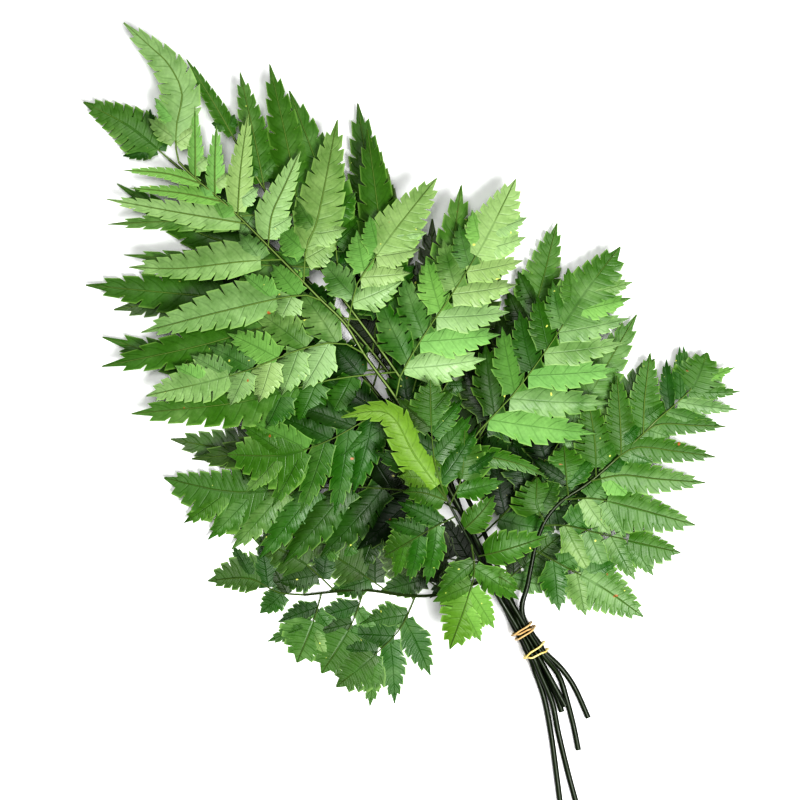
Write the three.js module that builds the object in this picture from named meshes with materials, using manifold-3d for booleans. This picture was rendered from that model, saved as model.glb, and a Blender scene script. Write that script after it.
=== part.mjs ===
// A tied bunch of cut fern fronds, lying on a table with its leaves spread out.
// Six fronds, each one piece from its cut stem to its leaf tips, are held by two wound elastic bands.
// Millimetres, +Z up. The table is z = 0, the leaves point to +Y and the cut ends to -Y.
import * as THREE from "three";
import Module from "manifold-3d";

const wasm = await Module();
wasm.setup();
const { lerp, smoothstep } = THREE.MathUtils;

// Plan places are pixels of an 800 x 800 picture of the bunch from straight above
const MM_PER_PIXEL = 0.6;
const ORIGIN_PIXEL = [408.26, 428.69];

// Leaf blades
const BLADE = 0.7; // thickness
const PRESSED = 0.7; // how much lower the lowest blades lie, as a share of their room
const FLAT_CUT = 0.05; // taken off where a blade lies on the table, for a flat spot
const RIB_HALF = 0.75; // half the width that is left between two leaflets
const REACH = 1.25 * MM_PER_PIXEL; // millimetres for a pixel of reach
const RIB_MARKS = 24; // points by which a place beside a rib is found
const FINEST = 0.72; // outlines keep no smaller steps
const SUNK = 1; // how far a pinna's foot reaches into the rib that carries it
const LEAFLET_FILL = 1.06; // share of its room along the rib that a leaflet fills
const CROWDING = 1.2; // how much closer the leaflets stand towards the tip
const TWO_TEETH = 46; // mm, leaflets longer than this have two teeth on each edge
const ONE_TOOTH = 22.5; // mm, and longer than this one
const PLAIN_TOOTH = 11; // mm, shorter ones are a bare point

// Stems
const STEM_RADIUS = 1.75;
const RACHIS_END_RADIUS = 0.8;
const BRANCH_RADIUS = [1.1, 0.8];
const STEM_SIDES = 5;

// The pile: the fronds lie in levels, further apart in the middle than at its edges
const LOWEST = 1.55; // middle of the lowest frond over the table
const MIDDLE_GAP = 9.4;
const EDGE_GAP = 3.6;
const PILE_CENTRE = [388, 385];
const PILE_HALF = [150, 215]; // half its width and half its length
const PILE_TURN = 0.55; // radians that its long way leans to the left of +Y
const CLEAR = 0.2; // kept free on each side of a level

// The tie
const TIE = [525.5, 634.5];
const TIE_HEADING = [-0.5, 0.87]; // from the tie towards the leaves
const STEM_PITCH = 3.9; // from the middle stem to each of the five round it
const BAND_RADIUS = 0.6;
const BAND_PLAY = 0.3; // between the bands and the stems
const BAND_STEPS = 12; // in one turn
const BAND_SIDES = 5;
const BUNDLE_HEIGHT = STEM_PITCH + STEM_RADIUS + BAND_PLAY + 4 * BAND_RADIUS + 0.4;
const NECK_HALF = 6; // half the length over which the stems run side by side
const NECK_END = 80; // from here on the stems have reached their levels
const LOOSE_BACK = 14.5; // from the tie back to the looser band
const LOOSE_SPREAD = 1.22; // how much wider the bundle is there

// Places of the stems in the tie, as shares of STEM_PITCH: to the right and up
const PLACES = {
  middle: [0, 0],
  low: [0, -1],
  lowLeft: [-0.951, -0.309],
  lowRight: [0.951, -0.309],
  highLeft: [-0.588, 0.809],
  highRight: [0.588, 0.809],
};

// The fronds, from picture points. `cutEnd` goes from the cut to the tie, with heights in millimetres, and
// `rachis` from the tie to where the last pinna begins. A pinna, or side branch, is its rib from foot to
// tip, the reach of its leaflets to the left and right of the rib and the number of leaflet pairs.
// `peak` is where along the rib the reach is greatest.
const TOP_FROND = {
  name: "frond_top",
  colour: 0x6fa055,
  level: 4,
  place: "highRight",
  cutEnd: [[582, 757, 1.8], [577, 732, 1.8], [570, 705, 2.1], [561.5, 680, 4.8]],
  rachis: [
    [509, 599], [490, 566], [466, 520], [436, 465], [408, 418], [392, 392], [366, 357], [346, 325],
    [318, 297], [278, 256], [232, 210], [192, 175], [177, 160],
  ],
  pinnae: [
    { rib: [[364, 354], [340, 343], [300, 350], [240, 373], [144, 396]], reach: [36, 46], pairs: 8 },
    {
      rib: [[396, 398], [400, 377], [423, 337], [451, 296], [480, 249], [517, 177]],
      reach: [46, 58],
      pairs: 9,
    },
    { rib: [[322, 301], [298, 296], [220, 312], [139, 332]], reach: [21, 29], pairs: 8 },
    { rib: [[348, 328], [357, 286], [371, 265], [389, 238], [437, 177]], reach: [33, 37], pairs: 7 },
    { rib: [[282, 260], [240, 262], [180, 268], [126, 266]], reach: [16, 24], pairs: 7 },
    { rib: [[304, 283], [307, 247], [318, 218], [337, 118]], reach: [27, 26], pairs: 7 },
    { rib: [[246, 223], [180, 212], [103, 197]], reach: [15, 17], pairs: 6 },
    { rib: [[268, 247], [272, 215], [285, 185], [300, 150]], reach: [20, 18], pairs: 5 },
    { rib: [[222, 201], [180, 192], [127, 186]], reach: [9, 11], pairs: 5 },
    { rib: [[238, 215], [240, 170], [247, 112]], reach: [17, 16], pairs: 6 },
    { rib: [[201, 183], [165, 172], [120, 168]], reach: [8, 9], pairs: 4 },
    { rib: [[214, 195], [214, 165], [215, 123]], reach: [12, 12], pairs: 5 },
    { rib: [[194, 177], [194, 150], [193, 103]], reach: [10, 10], pairs: 5 },
    {
      rib: [[177, 160], [174, 145], [175, 120], [180, 90], [167, 62], [150, 45], [121, 19]],
      reach: [24, 20],
      pairs: 10,
    },
  ],
};

const SECOND_FROND = {
  name: "frond_second",
  colour: 0x5f9447,
  level: 3,
  place: "middle",
  cutEnd: [[568, 711, 6.9], [554, 685, 7.8]],
  rachis: [
    [511, 598], [498, 567], [483, 530], [462, 487], [440, 440], [410, 392], [375, 342], [338, 292],
    [300, 240], [262, 186], [232, 135],
  ],
  pinnae: [
    {
      rib: [[453, 468], [480, 430], [514, 394], [550, 346], [589, 288], [623, 245]],
      reach: [50, 74],
      pairs: 9,
      first: 0.16,
    },
    { rib: [[456, 475], [480, 458], [515, 463], [547, 477]], reach: [14, 13], pairs: 4 },
    {
      rib: [[434, 430], [400, 412], [375, 415], [332, 439], [285, 455], [226, 455]],
      reach: [54, 52],
      pairs: 8,
      peak: 0.4,
    },
    { rib: [[412, 395], [430, 330], [450, 260], [462, 183]], reach: [30, 30], pairs: 5, plain: true },
    { rib: [[396, 372], [330, 380], [240, 402], [128, 414]], reach: [32, 32], pairs: 5, plain: true },
    { rib: [[377, 345], [384, 270], [367, 126]], reach: [26, 26], pairs: 5, plain: true },
    { rib: [[358, 320], [300, 318], [200, 345], [98, 366]], reach: [28, 28], pairs: 6, plain: true },
    { rib: [[340, 295], [328, 200], [288, 87]], reach: [27, 27], pairs: 6, plain: true },
    { rib: [[320, 268], [220, 262], [120, 253]], reach: [18, 18], pairs: 5, plain: true },
    { rib: [[302, 243], [290, 160], [268, 60]], reach: [23, 23], pairs: 6, plain: true },
    { rib: [[280, 212], [200, 218], [104, 222]], reach: [16, 16], pairs: 5, plain: true },
    { rib: [[264, 189], [252, 130], [238, 68]], reach: [19, 19], pairs: 5, plain: true },
    { rib: [[232, 135], [212, 100], [184, 55]], reach: [10, 10], pairs: 5, plain: true },
  ],
};

const RIGHT_FROND = {
  name: "frond_right",
  colour: 0x74a85a,
  level: 2,
  place: "lowRight",
  cutEnd: [[592, 724, 1.8], [578, 693, 2.4], [564, 673, 3.8]],
  rachis: [
    [524, 608], [529, 590], [533, 569], [538, 545], [548, 520], [565, 501], [592, 483], [630, 450],
    [661, 420],
  ],
  pinnae: [
    { rib: [[537, 552], [560, 565], [605, 590], [647, 620]], reach: [28, 31], pairs: 5 },
    { rib: [[545, 527], [568, 527], [605, 536], [685, 555]], reach: [21, 40], pairs: 6 },
    { rib: [[546, 524], [538, 505], [539, 478]], reach: [26, 26], pairs: 2 },
    { rib: [[566, 501], [598, 500], [640, 510], [700, 527]], reach: [19, 28], pairs: 6 },
    { rib: [[570, 497], [568, 478], [566, 446]], reach: [28, 28], pairs: 3 },
    { rib: [[593, 482], [625, 476], [660, 480], [710, 484]], reach: [17, 19], pairs: 6 },
    { rib: [[598, 477], [597, 440], [590, 395]], reach: [20, 19], pairs: 4 },
    { rib: [[617, 461], [640, 448], [680, 452], [721, 458]], reach: [15, 17], pairs: 6 },
    { rib: [[624, 455], [623, 420], [620, 375]], reach: [17, 17], pairs: 4 },
    { rib: [[640, 441], [662, 425], [700, 426], [731, 427]], reach: [14, 14], pairs: 5 },
    { rib: [[647, 434], [648, 400], [654, 352]], reach: [17, 18], pairs: 4 },
    { rib: [[661, 420], [682, 402], [698, 385], [712, 352]], reach: [32, 36], pairs: 6, peak: 0.3 },
  ],
};

const THIRD_FROND = {
  name: "frond_third",
  colour: 0x57903f,
  level: 1,
  place: "lowLeft",
  cutEnd: [[567, 838, 1.8], [560, 784, 1.8], [554, 740, 1.8], [547, 704, 2.2], [537, 675, 4.2]],
  rachis: [
    [501, 598], [483, 565], [468, 530], [450, 480], [418, 415], [375, 355], [325, 298], [270, 245],
    [215, 197], [165, 155],
  ],
  pinnae: [
    {
      rib: [[462, 513], [430, 497], [409, 492], [350, 488], [290, 491], [225, 493], [160, 479]],
      reach: [60, 34],
      pairs: 9,
      peak: 0.38,
    },
    { rib: [[474, 545], [520, 500], [570, 430], [641, 313]], reach: [36, 36], pairs: 6, plain: true },
    { rib: [[452, 485], [490, 420], [530, 330], [560, 220]], reach: [44, 34], pairs: 6, plain: true },
    { rib: [[430, 440], [360, 435], [280, 450], [188, 460]], reach: [30, 30], pairs: 6, plain: true },
    { rib: [[424, 424], [468, 345], [500, 255]], reach: [28, 28], pairs: 6, plain: true },
    { rib: [[385, 368], [300, 375], [200, 365], [97, 336]], reach: [28, 28], pairs: 6, plain: true },
    { rib: [[372, 352], [378, 260], [357, 98]], reach: [30, 30], pairs: 6, plain: true },
    { rib: [[330, 303], [240, 298], [80, 283]], reach: [28, 28], pairs: 6, plain: true },
    { rib: [[275, 250], [200, 232], [112, 180]], reach: [20, 20], pairs: 5, plain: true },
    { rib: [[165, 155], [125, 122], [78, 97]], reach: [22, 22], pairs: 5, plain: true },
  ],
};

const LOWEST_FROND = {
  name: "frond_lowest",
  colour: 0x3f7a2c,
  level: 0,
  place: "low",
  cutEnd: [[565, 718, 1.8], [560, 703, 2.0], [551, 684, 2.7]],
  rachis: [
    [506, 600], [494, 578], [478, 545], [450, 495], [412, 440], [370, 385], [325, 330], [280, 275],
    [240, 225],
  ],
  branches: [[[495, 580], [450, 596], [412, 600], [361, 594], [302, 599]]],
  pinnae: [
    { rib: [[302, 599], [275, 596], [245, 582], [204, 585]], reach: [16, 28], pairs: 5 },
    { rib: [[320, 598], [312, 625], [295, 668]], reach: [26, 24], pairs: 4, peak: 0.4 },
    { rib: [[363, 594], [350, 630], [320, 679]], reach: [28, 28], pairs: 5, peak: 0.4 },
    { rib: [[416, 600], [395, 640], [335, 693]], reach: [33, 28], pairs: 5, peak: 0.35 },
    { rib: [[335, 597], [300, 565], [249, 540]], reach: [24, 26], pairs: 4 },
    { rib: [[390, 597], [362, 578], [322, 552]], reach: [24, 26], pairs: 3 },
    { rib: [[446, 597], [420, 578], [380, 550]], reach: [26, 26], pairs: 3 },
    { rib: [[488, 566], [450, 562], [405, 548]], reach: [28, 28], pairs: 3, plain: true },
    { rib: [[502, 590], [530, 566], [562, 540]], reach: [26, 26], pairs: 3, plain: true },
    { rib: [[436, 474], [400, 476], [345, 492]], reach: [28, 28], pairs: 4, plain: true },
    { rib: [[447, 491], [400, 520], [330, 545], [268, 552]], reach: [32, 30], pairs: 5, plain: true },
    { rib: [[482, 552], [540, 505], [600, 440], [660, 358]], reach: [34, 34], pairs: 5, plain: true },
    { rib: [[454, 502], [500, 420], [534, 277]], reach: [30, 30], pairs: 5, plain: true },
    { rib: [[400, 424], [330, 440], [240, 450], [166, 440]], reach: [28, 28], pairs: 5, plain: true },
    { rib: [[414, 443], [430, 350], [433, 215]], reach: [26, 26], pairs: 5, plain: true },
    { rib: [[345, 354], [260, 360], [160, 352]], reach: [26, 26], pairs: 5, plain: true },
    { rib: [[372, 388], [390, 300], [372, 142]], reach: [27, 27], pairs: 5, plain: true },
    { rib: [[295, 293], [220, 290], [108, 308]], reach: [22, 22], pairs: 5, plain: true },
    { rib: [[240, 225], [212, 190], [180, 160]], reach: [22, 22], pairs: 4, plain: true },
  ],
};

const SMALL_FROND = {
  name: "frond_small",
  colour: 0x4f8a2e,
  level: 5,
  place: "highLeft",
  cutEnd: [[587, 836, 1.8], [573, 786, 1.8], [562, 741, 2.1], [555, 708, 4.6], [542.5, 678, 8.9]],
  rachis: [[499, 597], [485, 570], [472, 545], [458, 520], [447, 500]],
  pinnae: [
    { rib: [[447, 500], [436, 470], [431, 430], [430, 380]], reach: [36, 34], pairs: 5 },
    { rib: [[449, 504], [461, 475], [464, 430]], reach: [10, 26], pairs: 4 },
    { rib: [[446, 498], [425, 492], [403, 491]], reach: [15, 15], pairs: 3 },
    { rib: [[455, 515], [430, 528], [384, 556]], reach: [34, 26], pairs: 4 },
    { rib: [[471, 543], [474, 572], [465, 605], [450, 650]], reach: [30, 26], pairs: 5 },
    { rib: [[463, 529], [480, 512], [494, 494]], reach: [12, 14], pairs: 3 },
    { rib: [[478, 556], [505, 549], [547, 536]], reach: [17, 13], pairs: 4 },
    { rib: [[487, 572], [502, 578], [519, 590]], reach: [9, 9], pairs: 2 },
    { rib: [[446, 498], [415, 455], [388, 413], [342, 417]], reach: [12, 12], pairs: 6, peak: 0.6 },
  ],
};

const FRONDS = [LOWEST_FROND, THIRD_FROND, RIGHT_FROND, SECOND_FROND, TOP_FROND, SMALL_FROND];

// Plan point of a picture pixel
function plan([x, y]) {
  return new THREE.Vector2((x - ORIGIN_PIXEL[0]) * MM_PER_PIXEL, (ORIGIN_PIXEL[1] - y) * MM_PER_PIXEL);
}

// A seeded stream of numbers from 0 to 1
function stream(seed) {
  let state = seed;
  return () => {
    state = (state * 48271) % 2147483647;
    return state / 2147483647;
  };
}

// Height between two neighbouring levels at a plan point
function gapAt(point) {
  const away = point.clone().sub(plan(PILE_CENTRE)).rotateAround(new THREE.Vector2(), -PILE_TURN);
  const share = Math.hypot(away.x / PILE_HALF[0], away.y / PILE_HALF[1]);
  return lerp(MIDDLE_GAP, EDGE_GAP, smoothstep(share, 0.2, 1.05));
}

// Height of the middle of a level
function levelHeight(level, point) {
  return LOWEST + level * gapAt(point);
}

// Keeps the middle of a blade within the room of its level, with a soft stop
function within(point, rise) {
  const room = gapAt(point) / 2 - BLADE / 2 - CLEAR;
  return room * Math.tanh(rise);
}

// A closed solid from shared corners
function solid(corners, faces) {
  return new wasm.Manifold(
    new wasm.Mesh({
      numProp: 3,
      vertProperties: new Float32Array(corners.flatMap((corner) => corner.toArray())),
      triVerts: new Uint32Array(faces.flat()),
    }),
  );
}

// A thin blade: its plan outline thickened, then bent so that its middle has the height of each plan point.
// Both faces are split into the same triangles.
function bladeSolid(outline, heightAt) {
  const plate = new wasm.CrossSection([outline.map((p) => p.toArray())], "NonZero").simplify(FINEST);
  return wasm.Manifold.extrude(plate, 1).warp((corner) => {
    const middle = heightAt(new THREE.Vector2(corner[0], corner[1]));
    corner[2] = middle + (corner[2] - 0.5) * BLADE;
  });
}

// A tube with a ring of corners round each point of a route, closed at both ends
function tubeSolid(route, radii, sides) {
  const corners = [];
  const faces = [];
  const up = new THREE.Vector3(0, 0, 1);
  route.forEach((centre, i) => {
    const before = route[Math.max(0, i - 1)];
    const after = route[Math.min(route.length - 1, i + 1)];
    const ahead = after.clone().sub(before).normalize();
    const across = new THREE.Vector3().crossVectors(up, ahead).normalize();
    const over = new THREE.Vector3().crossVectors(ahead, across);
    for (let k = 0; k < sides; k++) {
      const turn = (2 * Math.PI * k) / sides;
      const corner = centre.clone().addScaledVector(across, radii[i] * Math.cos(turn));
      corners.push(corner.addScaledVector(over, radii[i] * Math.sin(turn)));
    }
  });
  for (let i = 0; i + 1 < route.length; i++) {
    for (let k = 0; k < sides; k++) {
      const a = i * sides + k;
      const b = i * sides + ((k + 1) % sides);
      faces.push([a, b, b + sides], [a, b + sides, a + sides]);
    }
  }
  const last = (route.length - 1) * sides;
  for (let k = 1; k < sides - 1; k++) {
    faces.push([0, k + 1, k], [last, last + k, last + k + 1]);
  }
  return solid(corners, faces);
}

// Share of a pinna's greatest reach at a place along its rib
function reachShare(s, peak) {
  return s < peak ? lerp(0.8, 1, s / peak) : ((1 - s) / (1 - peak)) ** 0.72;
}

// Half the width of a leaflet at a place along it, as a share of its greatest
function leafletShare(u) {
  return u < 0.36 ? 0.6 + (0.4 * u) / 0.36 : ((1 - u) / 0.64) ** 0.62;
}

// One edge of a leaflet from its foot to near its tip: places along it and shares of its half width
function leafletEdge(long, plain) {
  const teeth = (long > TWO_TEETH ? 2 : long > ONE_TOOTH ? 1 : 0) - (plain ? 1 : 0);
  if (long < PLAIN_TOOTH) {
    return [];
  }
  if (teeth < 1) {
    return [[0.5, 0.95]];
  }
  return Array.from({ length: teeth }, (_, i) => 0.36 + (0.5 * i) / teeth).flatMap((u) => [
    [u, leafletShare(u)],
    [u + 0.06, 0.7 * leafletShare(u + 0.06)],
  ]);
}

// A pinna's outline on one side of its rib (1 left, -1 right), from the foot to near the tip
function sideOutline(rib, pinna, side) {
  const { pairs, peak = 0.15, first = 0.1, plain = false } = pinna;
  const reach = pinna.reach[side > 0 ? 0 : 1] * REACH;
  const length = rib.getLength();
  const out = (s) => {
    const ahead = rib.getTangentAt(s);
    return new THREE.Vector2(-ahead.y * side, ahead.x * side);
  };
  const besideRib = (s) => rib.getPointAt(s).addScaledVector(out(s), RIB_HALF);
  const station = (j) => {
    const share = (j + (side > 0 ? 0.25 : 0)) / (pairs + 0.25);
    return lerp(first, 0.95, 1 - (1 - share) ** CROWDING);
  };
  const outline = [besideRib(0).addScaledVector(rib.getTangentAt(0), -SUNK)];
  for (let j = 0; j < pairs; j++) {
    const [start, end] = [station(j), station(j + 1)];
    const s = (start + end) / 2;
    const lean = lerp(1.1, 0.7, s);
    const ahead = rib.getTangentAt(s).multiplyScalar(Math.cos(lean));
    const axis = ahead.addScaledVector(out(s), Math.sin(lean));
    const forward = new THREE.Vector2(side * axis.y, -side * axis.x);
    const long = (reach * reachShare(s, peak)) / Math.sin(lean);
    const half = ((end - start) / 2) * length * Math.sin(lean) * LEAFLET_FILL;
    const joined = lerp(0, 0.65, s ** 1.5);
    const edge = leafletEdge(long, plain);
    const foot = rib.getPointAt(s);
    const place = (u, w) => foot.clone().addScaledVector(axis, long * u).addScaledVector(forward, half * w);
    outline.push(besideRib(start).addScaledVector(axis, long * joined));
    outline.push(...edge.map(([u, w]) => place(u, -w)), place(1, 0.2));
    outline.push(...edge.map(([u, w]) => place(u, w)).reverse());
  }
  outline.push(besideRib(station(pairs)));
  return outline;
}

// Where a plan point lies beside a rib: its share of the way along, and its distance to the left
function besideMarks(marks, point) {
  let found = { s: 0, b: 0 };
  let least = Infinity;
  for (let i = 0; i + 1 < marks.length; i++) {
    const leg = marks[i + 1].clone().sub(marks[i]);
    const away = point.clone().sub(marks[i]);
    const share = THREE.MathUtils.clamp(away.dot(leg) / leg.lengthSq(), 0, 1);
    const distance = away.distanceTo(leg.clone().multiplyScalar(share));
    if (distance < least) {
      least = distance;
      found = { s: (i + share) / (marks.length - 1), b: Math.sign(leg.cross(away)) * distance };
    }
  }
  return found;
}

// A pinna as one thin blade with its leaflets cut to the rib
function pinnaSolid(pinna, frond, skeleton, random) {
  const foot = nearestOn(skeleton, plan(pinna.rib[0]));
  const rib = new THREE.SplineCurve([new THREE.Vector2(foot.x, foot.y), ...pinna.rib.slice(1).map(plan)]);
  const [left, right] = [sideOutline(rib, pinna, 1), sideOutline(rib, pinna, -1)];
  const outline = [...right, rib.getPointAt(1), ...left.reverse()];
  const marks = rib.getSpacedPoints(RIB_MARKS);
  const width = Math.max(...pinna.reach) * REACH;
  const step = foot.z - levelHeight(frond.level, marks[0]);
  const arch = lerp(0.3, 0.9, random());
  const tilt = lerp(-0.5, 0.5, random());
  const twist = lerp(0.3, 0.6, random());
  return bladeSolid(outline, (point) => {
    const { s, b } = besideMarks(marks, point);
    const share = b / width;
    const wave = twist * Math.sin(2 * Math.PI * pinna.pairs * s) * share;
    const bend = arch * Math.sin(Math.PI * s) - 0.9 * share ** 2 + tilt * share + wave - 0.4 * s ** 3;
    const rise = frond.level === 0 ? bend - PRESSED : bend;
    const height = levelHeight(frond.level, point) + within(point, rise) + step * (1 - s) ** 4;
    return Math.max(height, BLADE / 2 - FLAT_CUT);
  });
}

// The point nearest to a plan point on a set of routes
function nearestOn(routes, point) {
  let best = routes[0][0];
  let least = Infinity;
  const flat = new THREE.Vector3(point.x, point.y, 0);
  for (const route of routes) {
    for (let i = 0; i + 1 < route.length; i++) {
      const [from, to] = [route[i], route[i + 1]];
      const leg = new THREE.Line3(from.clone().setZ(0), to.clone().setZ(0));
      const share = leg.closestPointToPointParameter(flat, true);
      const found = from.clone().lerp(to, share);
      const distance = Math.hypot(found.x - point.x, found.y - point.y);
      if (distance < least) {
        [best, least] = [found, distance];
      }
    }
  }
  return best;
}

// A point of a stem in or near the tie, `ahead` millimetres towards the leaves
function atTie(place, ahead, spread = 1) {
  const [right, up] = PLACES[place];
  const heading = new THREE.Vector2(...TIE_HEADING).normalize();
  const side = new THREE.Vector2(heading.y, -heading.x);
  const point = plan(TIE).addScaledVector(heading, ahead).addScaledVector(side, right * STEM_PITCH * spread);
  return new THREE.Vector3(point.x, point.y, BUNDLE_HEIGHT + up * STEM_PITCH);
}

// Height of a stem on its way from the tie to its level
function risingHeight(frond, point) {
  const share = smoothstep(point.distanceTo(plan(TIE)), NECK_HALF, NECK_END);
  return lerp(atTie(frond.place, 0).z, levelHeight(frond.level, point), share);
}

// The stem and main rib of a frond, from its cut end to where its last pinna begins
function stemRoute(frond) {
  const ends = frond.cutEnd.map(([x, y, height]) => {
    const point = plan([x, y]);
    return new THREE.Vector3(point.x, point.y, height);
  });
  const tie = [
    atTie(frond.place, -LOOSE_BACK - 3, LOOSE_SPREAD),
    atTie(frond.place, -LOOSE_BACK + 3, LOOSE_SPREAD),
    atTie(frond.place, -NECK_HALF),
    atTie(frond.place, NECK_HALF),
  ];
  const rib = frond.rachis.map((pixel) => {
    const point = plan(pixel);
    return new THREE.Vector3(point.x, point.y, risingHeight(frond, point));
  });
  return [...ends, ...tie, ...rib];
}

// A side rib that carries pinnae of its own
function branchRoute(branch, frond, stem) {
  return branch.map((pixel, i) => {
    const point = plan(pixel);
    const height = i === 0 ? nearestOn([stem], point).z : levelHeight(frond.level, point);
    return new THREE.Vector3(point.x, point.y, height);
  });
}

// Radii that shrink evenly along a route, from `from` on
function taper(route, first, last, from = 0) {
  return route.map((_, i) => lerp(first, last, Math.max(0, i - from) / (route.length - 1 - from)));
}

// One frond, grown in one piece
function frondSolid(frond, index) {
  const random = stream(101 + 37 * index);
  const stem = stemRoute(frond);
  const branches = (frond.branches ?? []).map((branch) => branchRoute(branch, frond, stem));
  const leafStart = stem.length - frond.rachis.length;
  const tubes = [
    tubeSolid(stem, taper(stem, STEM_RADIUS, RACHIS_END_RADIUS, leafStart), STEM_SIDES),
    ...branches.map((route) => tubeSolid(route, taper(route, ...BRANCH_RADIUS), STEM_SIDES)),
  ];
  const skeleton = [stem, ...branches];
  const blades = frond.pinnae.map((pinna) => pinnaSolid(pinna, frond, skeleton, random));
  const grown = wasm.Manifold.union([...tubes, ...blades]).trimByPlane([0, 0, 1], 0);
  return grown.decompose().sort((a, b) => b.volume() - a.volume())[0];
}

// The closed way of a band: `turns` times round the hull of the stems, going forward under its own turns
// and back over them
function bandLoop({ ahead, spread, turns, wander }) {
  const heading = new THREE.Vector2(...TIE_HEADING).normalize();
  const side = new THREE.Vector2(heading.y, -heading.x);
  const steps = turns * BAND_STEPS;
  const stack = (1.05 * BAND_RADIUS) / Math.sin(Math.PI / Math.max(turns, 2));
  return Array.from({ length: steps }, (_, i) => {
    const once = (2 * Math.PI * i) / steps;
    const angle = turns * once;
    const way = new THREE.Vector2(Math.cos(angle), Math.sin(angle));
    const places = Object.values(PLACES).map(([x, y]) => new THREE.Vector2(x * spread, y));
    const outer = places.reduce((best, place) => (place.dot(way) > best.dot(way) ? place : best));
    const clear = STEM_RADIUS + BAND_PLAY + BAND_RADIUS + stack * (1 + Math.sin(once));
    const centre = outer.multiplyScalar(STEM_PITCH).addScaledVector(way, clear);
    const point = plan(TIE).addScaledVector(heading, ahead + wander * Math.cos(once));
    point.addScaledVector(side, centre.x);
    return new THREE.Vector3(point.x, point.y, BUNDLE_HEIGHT + centre.y);
  });
}

// A band as one closed ring of round section along its loop
function bandSolid(band) {
  const loop = bandLoop(band);
  const count = loop.length;
  const middle = loop.reduce((sum, p) => sum.add(p), new THREE.Vector3()).divideScalar(count);
  const corners = [];
  const faces = [];
  loop.forEach((centre, i) => {
    const ahead = loop[(i + 1) % count].clone().sub(loop[(i + count - 1) % count]).normalize();
    const outward = centre.clone().sub(middle);
    outward.addScaledVector(ahead, -outward.dot(ahead)).normalize();
    const over = new THREE.Vector3().crossVectors(ahead, outward);
    for (let k = 0; k < BAND_SIDES; k++) {
      const turn = (2 * Math.PI * k) / BAND_SIDES;
      const corner = centre.clone().addScaledVector(outward, BAND_RADIUS * Math.cos(turn));
      corners.push(corner.addScaledVector(over, BAND_RADIUS * Math.sin(turn)));
    }
  });
  for (let i = 0; i < count; i++) {
    for (let k = 0; k < BAND_SIDES; k++) {
      const [here, after] = [i * BAND_SIDES, ((i + 1) % count) * BAND_SIDES];
      const next = (k + 1) % BAND_SIDES;
      faces.push([here + k, here + next, after + next], [here + k, after + next, after + k]);
    }
  }
  return solid(corners, faces);
}

// A mesh of a solid with its own material
function named(name, body, colour, roughness) {
  const { vertProperties, triVerts } = body.getMesh();
  const geometry = new THREE.BufferGeometry();
  geometry.setAttribute("position", new THREE.BufferAttribute(vertProperties, 3));
  geometry.setIndex(new THREE.BufferAttribute(triVerts, 1));
  geometry.computeVertexNormals();
  const finish = new THREE.MeshStandardMaterial({ color: colour, roughness, metalness: 0 });
  const mesh = new THREE.Mesh(geometry, finish);
  mesh.name = name;
  return mesh;
}

const bunch = new THREE.Group();
FRONDS.forEach((frond, i) => bunch.add(named(frond.name, frondSolid(frond, i), frond.colour, 0.45)));
const TIGHT_BAND = { ahead: 0, spread: 1, turns: 3, wander: 2.2 };
const LOOSE_BAND = { ahead: -LOOSE_BACK, spread: LOOSE_SPREAD, turns: 2, wander: 2.6 };
bunch.add(named("band_tight", bandSolid(TIGHT_BAND), 0xb08a4a, 0.6));
bunch.add(named("band_loose", bandSolid(LOOSE_BAND), 0xd8c878, 0.6));

export default bunch;
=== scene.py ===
# %% [markdown]
# # A tied bunch of fern fronds
# Six leathery fern fronds lie on a pale table in a low pile, tied at their stems by two elastic bands.
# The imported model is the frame: it holds plain solids of the fronds and the bands, in metres, with the
# table at z = 0. Each solid is replaced here by a finer piece that keeps its place and its form.

# %% Load the frame and the tools
import bisect
import math
import random
import bmesh
import bpy
from mathutils import Matrix, Vector


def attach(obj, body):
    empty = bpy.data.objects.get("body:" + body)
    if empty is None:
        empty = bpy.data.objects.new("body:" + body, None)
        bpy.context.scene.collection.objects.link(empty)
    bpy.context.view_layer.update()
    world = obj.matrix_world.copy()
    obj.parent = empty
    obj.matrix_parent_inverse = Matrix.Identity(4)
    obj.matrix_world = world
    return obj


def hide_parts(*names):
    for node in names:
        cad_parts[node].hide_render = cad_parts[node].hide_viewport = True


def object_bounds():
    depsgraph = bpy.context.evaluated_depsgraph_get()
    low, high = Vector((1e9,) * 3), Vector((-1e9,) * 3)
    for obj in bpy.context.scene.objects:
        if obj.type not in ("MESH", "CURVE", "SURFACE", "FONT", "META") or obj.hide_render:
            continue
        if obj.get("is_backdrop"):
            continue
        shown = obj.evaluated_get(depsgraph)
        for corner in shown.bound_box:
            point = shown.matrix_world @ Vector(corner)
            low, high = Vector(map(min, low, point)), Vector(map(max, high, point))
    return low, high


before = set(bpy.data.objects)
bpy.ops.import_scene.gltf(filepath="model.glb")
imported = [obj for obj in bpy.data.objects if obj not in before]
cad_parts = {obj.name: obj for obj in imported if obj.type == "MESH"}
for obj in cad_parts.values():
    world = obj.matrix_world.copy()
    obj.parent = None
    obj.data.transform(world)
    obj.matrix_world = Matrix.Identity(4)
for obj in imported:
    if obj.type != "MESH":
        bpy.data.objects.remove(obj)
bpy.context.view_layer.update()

# %% [markdown]
# ## Places
# A frond is drawn by places in a picture seen from straight above. One pixel is 0.6 mm, which comes
# from the width of the stems. This gives every rib its place on the table plane.

# %% From the picture to the table
MM = 0.001
PIXEL = 0.6 * MM
ORIGIN_PIXEL = (408.26, 428.69)


def plan(pixel):
    """The place on the table, in metres, of a place in the picture."""
    return Vector(((pixel[0] - ORIGIN_PIXEL[0]) * PIXEL, (ORIGIN_PIXEL[1] - pixel[1]) * PIXEL, 0))


def lerp(a, b, share):
    return a + (b - a) * share


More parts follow.
